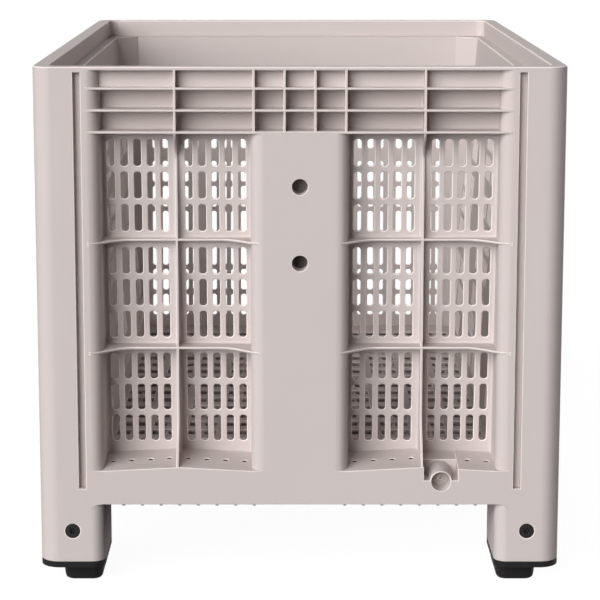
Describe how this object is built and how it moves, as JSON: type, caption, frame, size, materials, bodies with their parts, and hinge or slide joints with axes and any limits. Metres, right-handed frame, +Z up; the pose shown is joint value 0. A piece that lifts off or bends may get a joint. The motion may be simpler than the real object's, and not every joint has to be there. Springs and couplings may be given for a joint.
{
  "type": "fruit bin",
  "caption": "Tall ventilated plastic pallet bin for fruit, with slotted, ribbed walls, a rolled rim, corner legs open to forks from all sides and black screwed-on feet.",
  "frame": {"origin": "on the floor, under the middle of the bin", "axes": "+Z up; +Y along the long sides, from the front end with the drain to the rear end; +X to the right for someone facing the front end"},
  "size_m": [0.8, 1.2, 0.8],
  "materials": {
    "tub_plastic": "satin moulded, warm light grey",
    "foot_plastic": "matte black",
    "foot_hardware": "black coated steel"
  },
  "bodies": {
    "root": {"front_wall": "tub_plastic", "rear_wall": "tub_plastic", "left_wall": "tub_plastic", "right_wall": "tub_plastic", "front_panel_left": "tub_plastic", "front_panel_right": "tub_plastic", "rear_panel_left": "tub_plastic", "rear_panel_right": "tub_plastic", "left_panel_front": "tub_plastic", "left_panel_middle": "tub_plastic", "left_panel_rear": "tub_plastic", "right_panel_front": "tub_plastic", "right_panel_middle": "tub_plastic", "right_panel_rear": "tub_plastic", "floor_deck": "tub_plastic", "floor_ribs": "tub_plastic", "corner_front_left": "tub_plastic", "corner_front_right": "tub_plastic", "corner_rear_left": "tub_plastic", "corner_rear_right": "tub_plastic", "rim_front": "tub_plastic", "rim_rear": "tub_plastic", "rim_left": "tub_plastic", "rim_right": "tub_plastic", "foot_front_left": "foot_plastic", "foot_front_right": "foot_plastic", "foot_rear_left": "foot_plastic", "foot_rear_right": "foot_plastic", "foot_screw_front_left": "foot_hardware", "foot_screw_front_right": "foot_hardware", "foot_screw_rear_left": "foot_hardware", "foot_screw_rear_right": "foot_hardware", "foot_nut_front_left": "foot_hardware", "foot_nut_front_right": "foot_hardware", "foot_nut_rear_left": "foot_hardware", "foot_nut_rear_right": "foot_hardware"}
  },
  "joints": []
}
